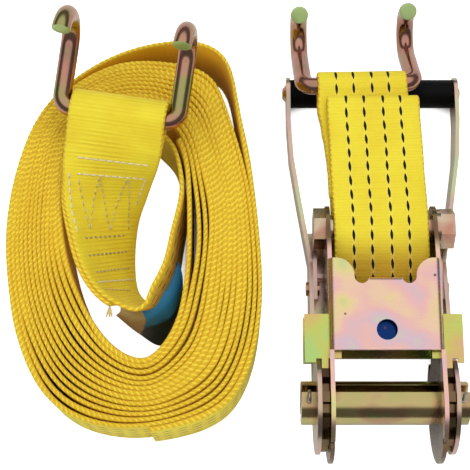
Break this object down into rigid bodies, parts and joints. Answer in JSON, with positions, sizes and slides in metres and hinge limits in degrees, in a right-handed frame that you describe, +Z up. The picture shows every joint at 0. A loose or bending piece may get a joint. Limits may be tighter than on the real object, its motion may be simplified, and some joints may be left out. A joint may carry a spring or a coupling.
{
  "type": "ratchet tie down",
  "caption": "Ratchet tie-down: geared spindle in a folded frame, long swing handle, short hooked strap and a coiled long strap with a double hook.",
  "frame": {"origin": "centre of the bounding box's bottom face, on the table under the set", "axes": "+Z up from the table; +X across the webbing of the ratchet; +Y from the ratchet's spindle towards its hook"},
  "size_m": [0.2473, 0.2575, 0.1108],
  "materials": {
    "zinc_plate": "yellow iridescent zinc on pressed steel sheet",
    "zinc_bolt": "yellow zinc on turned steel",
    "zinc_shaft": "yellow zinc on drawn steel",
    "zinc_hook": "yellow zinc on bent wire, pinkish brown",
    "spring_steel": "bright drawn wire",
    "black_grip": "black sleeve",
    "webbing": "yellow polyester webbing with black tracer dashes",
    "label": "plain blue sewn label"
  },
  "bodies": {
    "base": {"base_frame": "zinc_plate", "strap_bolt": "zinc_bolt", "bolt_nut": "zinc_bolt", "bolt_washer": "zinc_bolt", "bolt_sleeve": "zinc_bolt", "lock_spring": "spring_steel"},
    "lock": {"lock_pawl": "zinc_plate"},
    "spindle": {"half_shaft_front": "zinc_shaft", "half_shaft_rear": "zinc_shaft", "ratchet_wheel_left": "zinc_plate", "ratchet_wheel_right": "zinc_plate", "cotter_pin_left": "spring_steel", "cotter_pin_right": "spring_steel"},
    "handle": {"handle_plate_left": "zinc_plate", "handle_plate_right": "zinc_plate", "handle_web": "zinc_plate", "handle_rivets": "zinc_bolt", "grip_bar": "zinc_bolt", "grip_sleeve": "black_grip", "drive_spring": "spring_steel"},
    "drive": {"drive_pawl": "zinc_plate"},
    "short_belt": {"short_strap": "webbing"},
    "short_end": {"short_hook": "zinc_hook"},
    "long_belt": {"strap_coil": "webbing", "strap_lead": "webbing", "strap_label": "label"},
    "long_end": {"long_hook": "zinc_hook"}
  },
  "joints": [
    {"name": "handle_swing", "type": "hinge", "parent": "base", "child": "handle", "pos_m": [0.0733, -0.0972, 0.028], "axis": [-1, 0, 0], "range_deg": [0, 180]},
    {"name": "spindle_turn", "type": "hinge", "parent": "base", "child": "spindle", "pos_m": [0.0733, -0.0972, 0.028], "axis": [1, 0, 0], "continuous": true},
    {"name": "lock_pull", "type": "slide", "parent": "base", "child": "lock", "axis": [0, 1, 0], "range_m": [0, 0.0055], "stiffness_N_per_m": 800, "springref_m": -0.001, "deforming": ["lock_spring"]},
    {"name": "drive_pull", "type": "slide", "parent": "handle", "child": "drive", "axis": [0, 1, 0], "range_m": [-0.0057, 0.003], "stiffness_N_per_m": 800, "deforming": ["drive_spring"]},
    {"name": "short_strap_swing", "type": "hinge", "parent": "base", "child": "short_belt", "pos_m": [0.0733, -0.0047, 0.032], "axis": [1, 0, 0], "range_deg": [0, 15]},
    {"name": "short_hook_swing", "type": "hinge", "parent": "short_belt", "child": "short_end", "pos_m": [0.0645, 0.0773, 0.0321], "axis": [0.9994, 0.0349, 0], "range_deg": [-3, 100]},
    {"name": "long_strap_lift", "type": "slide", "parent": "base", "child": "long_belt", "axis": [0, 0, 1], "range_m": [0, 0.1]},
    {"name": "long_hook_swing", "type": "hinge", "parent": "long_belt", "child": "long_end", "pos_m": [-0.06345, 0.04565, 0.0709], "axis": [0.9871, -0.1581, 0.0262], "range_deg": [-30, 80]}
  ]
}
